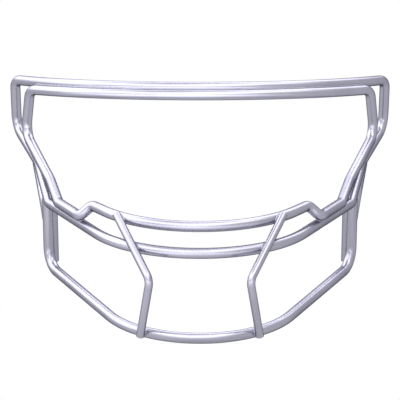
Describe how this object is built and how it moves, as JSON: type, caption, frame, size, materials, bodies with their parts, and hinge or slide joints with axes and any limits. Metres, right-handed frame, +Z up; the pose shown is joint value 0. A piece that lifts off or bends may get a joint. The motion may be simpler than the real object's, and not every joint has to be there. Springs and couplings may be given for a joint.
{
  "type": "football helmet facemask",
  "caption": "Welded wire face guard for a football helmet, with a double brow wire, two mouth bars, a chin bar and short uprights, under a glossy silver-white coat.",
  "frame": {"origin": "middle of the upper brow wire, on its centre line, where the brow clip of the helmet holds it", "axes": "+X across the guard towards the viewer's right, +Y to the rear, into the helmet, so that -Y is the front, and +Z up"},
  "size_m": [0.239, 0.1717, 0.1609],
  "materials": {
    "coated_wire": "glossy silver-white coat over welded steel wire"
  },
  "bodies": {
    "root": {"outer_loop_wire": "coated_wire", "inner_loop_wire": "coated_wire", "jaw_wire": "coated_wire", "left_stay_wire": "coated_wire", "right_stay_wire": "coated_wire", "left_brace_wire": "coated_wire", "right_brace_wire": "coated_wire", "left_upright_wire": "coated_wire", "right_upright_wire": "coated_wire"}
  },
  "joints": []
}
